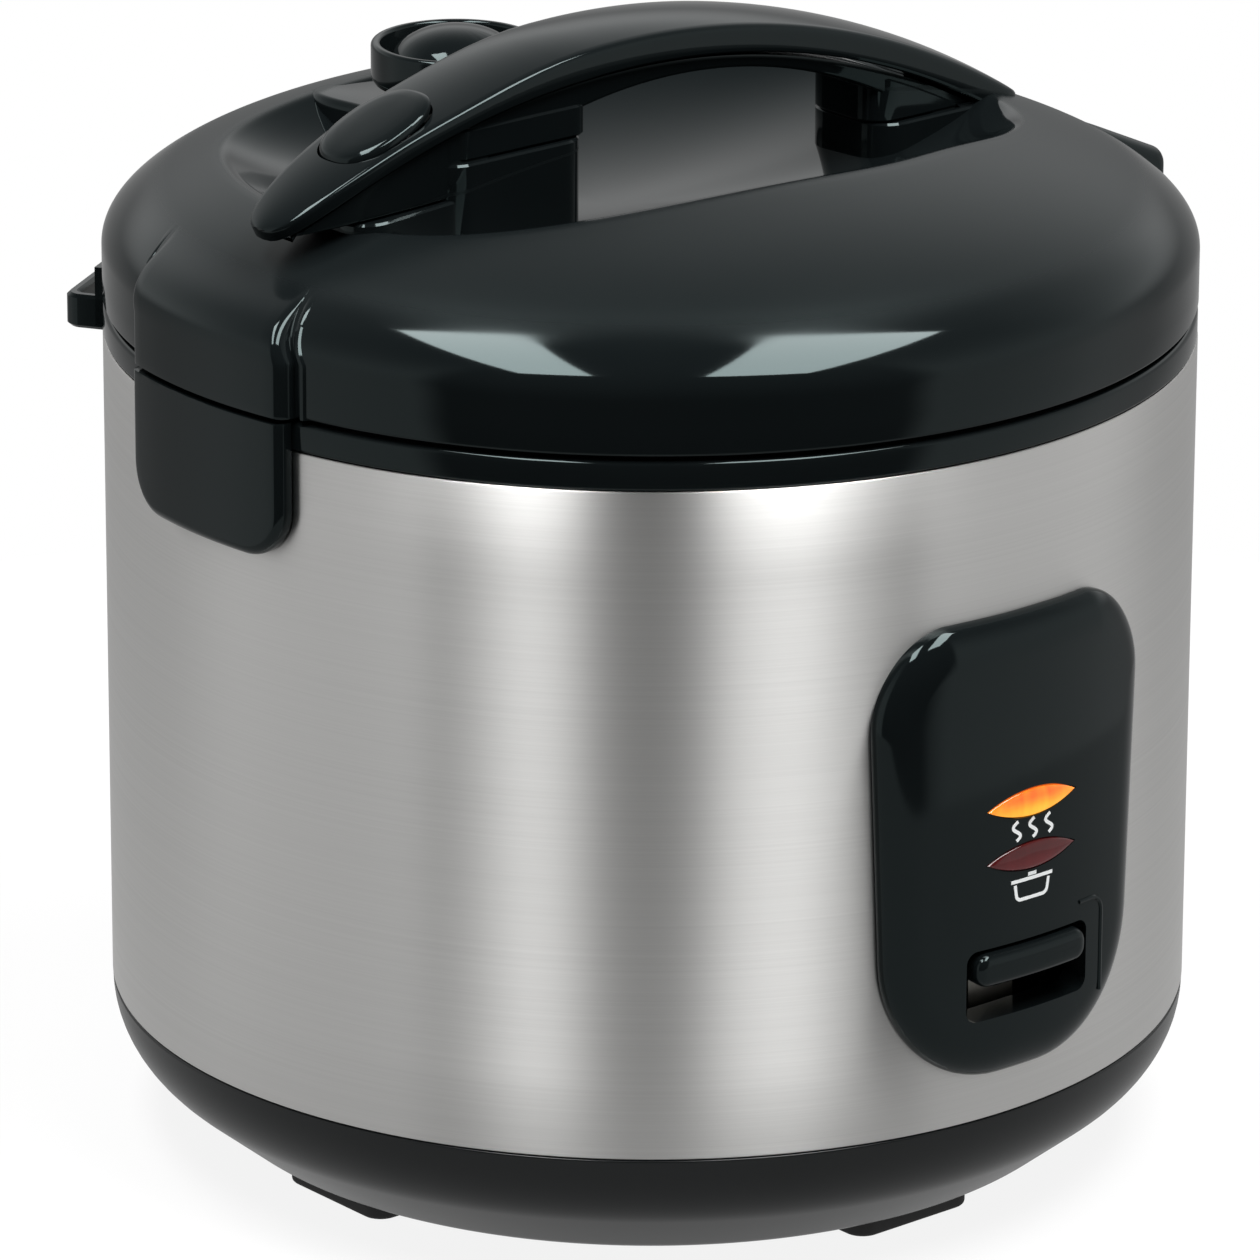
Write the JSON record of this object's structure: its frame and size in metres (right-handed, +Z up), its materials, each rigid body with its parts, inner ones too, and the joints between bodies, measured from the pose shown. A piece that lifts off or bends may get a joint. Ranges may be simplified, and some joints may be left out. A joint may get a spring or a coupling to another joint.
{
  "type": "rice cooker",
  "caption": "Free-standing jar rice cooker: brushed-steel drum body, domed black lid with arched carry handle, release button, steam vent, cook lever with indicator lamps, removable pot",
  "frame": {"origin": "on the floor under the middle of the round body, at the level of the feet's undersides", "axes": "+Z up; the control panel faces -Y, the lid's latch is at -X and its hinge at +X, the power inlet is at +Y"},
  "size_m": [0.275, 0.2737, 0.2766],
  "materials": {
    "black_gloss": "polished black moulding",
    "black_base": "black moulding, slightly softer gloss",
    "foot_rubber": "matte black rubber",
    "brushed_steel": "stainless sheet brushed around the body",
    "bright_pin": "ground steel pin",
    "spring_steel": "bright spring wire",
    "drum_steel": "plain tinned sheet",
    "plated_steel": "zinc-plated steel",
    "cast_aluminium": "cast and turned aluminium",
    "element_steel": "heat-stained steel tube",
    "spun_aluminium": "spun aluminium",
    "dark_ferrite": "sintered ferrite",
    "white_plastic": "white heat-proof moulding",
    "dark_plastic": "black heat-proof moulding",
    "amber_lens": "amber lens",
    "red_lens": "dark red lens",
    "lamp_glass": "small neon lamp",
    "pin_brass": "plated brass blade",
    "grey_plastic": "grey moulding",
    "white_seal": "translucent white silicone",
    "hook_plastic": "tough natural moulding"
  },
  "bodies": {
    "cooker": {"base_housing": "black_base", "base_screws": "plated_steel", "control_panel": "black_gloss", "cook_lamp": "lamp_glass", "cook_lens": "red_lens", "drum_post_1": "plated_steel", "drum_post_2": "plated_steel", "drum_post_3": "plated_steel", "foot_back": "foot_rubber", "foot_front": "foot_rubber", "foot_hinge": "foot_rubber", "foot_latch": "foot_rubber", "heating_element": "element_steel", "heating_plate": "cast_aluminium", "hinge_block": "black_gloss", "hinge_pin": "bright_pin", "hinge_spring": "spring_steel", "inlet_pins": "pin_brass", "inlet_screws": "plated_steel", "inner_drum": "drum_steel", "lamp_tray": "white_plastic", "latch_cover": "black_gloss", "lever_pin": "bright_pin", "micro_switch": "dark_plastic", "paddle_loop": "black_gloss", "power_inlet": "dark_plastic", "rim_ring": "black_gloss", "sensor_bracket": "plated_steel", "sensor_guide": "plated_steel", "sensor_spring": "spring_steel", "steel_jacket": "brushed_steel", "switch_bracket": "plated_steel", "terminal_block": "white_plastic", "thermal_fuse": "white_plastic", "warm_lamp": "lamp_glass", "warm_lens": "amber_lens"},
    "pot": {"inner_pot": "spun_aluminium"},
    "sensor": {"sensor_cap": "spun_aluminium", "sensor_ferrite": "dark_ferrite"},
    "plunger": {"plunger_magnet": "dark_ferrite", "plunger_rod": "plated_steel"},
    "lever": {"switch_lever": "plated_steel", "switch_knob": "black_gloss"},
    "lid": {"lid_shell": "black_gloss", "lid_liner": "grey_plastic", "latch_pin": "bright_pin", "lid_seal": "white_seal", "steam_plate": "spun_aluminium", "plate_grommet": "white_seal", "steam_tube": "grey_plastic", "handle_top": "black_gloss", "handle_base": "black_gloss", "handle_screws": "plated_steel", "button_spring": "spring_steel"},
    "button": {"release_button": "black_gloss"},
    "latch": {"latch_hook": "hook_plastic"},
    "vent": {"vent_cup": "black_gloss", "vent_dome": "black_gloss", "vent_seal": "white_seal"}
  },
  "joints": [
    {"name": "lid_hinge", "type": "hinge", "parent": "cooker", "child": "lid", "pos_m": [0.1325, 0, 0.219], "axis": [0, 1, 0], "range_deg": [0, 90]},
    {"name": "release_button", "type": "slide", "parent": "lid", "child": "button", "axis": [0, 0, -1], "range_m": [0, 0.004], "stiffness_N_per_m": 900, "springref_m": -0.0015, "deforming": ["button_spring"]},
    {"name": "latch_hook", "type": "hinge", "parent": "lid", "child": "latch", "pos_m": [-0.1215, 0, 0.222], "axis": [0, 1, 0], "range_deg": [0, 8.1]},
    {"name": "switch_lever", "type": "hinge", "parent": "cooker", "child": "lever", "pos_m": [0, -0.064, 0.048], "axis": [1, 0, 0], "range_deg": [0, 4.87], "stiffness_Nm_per_rad": 1.2, "springref_deg": -5.73},
    {"name": "plunger_lift", "type": "slide", "parent": "cooker", "child": "plunger", "axis": [0, 0, 1], "range_m": [0, 0.0056]},
    {"name": "sensor_press", "type": "slide", "parent": "cooker", "child": "sensor", "axis": [0, 0, 1], "range_m": [-0.002, 0], "stiffness_N_per_m": 1500, "springref_m": 0.0015, "deforming": ["sensor_spring"]},
    {"name": "pot_turn", "type": "hinge", "parent": "cooker", "child": "pot", "pos_m": [0, 0, 0.084], "axis": [0, 0, 1], "continuous": true},
    {"name": "vent_lift", "type": "slide", "parent": "lid", "child": "vent", "axis": [0, 0, 1], "range_m": [0, 0.03]}
  ],
  "couplings": [
    {"joint": "latch_hook", "follows": "release_button", "rad_per_m": 35.09},
    {"joint": "plunger_lift", "follows": "switch_lever", "m_per_rad": 0.064}
  ]
}
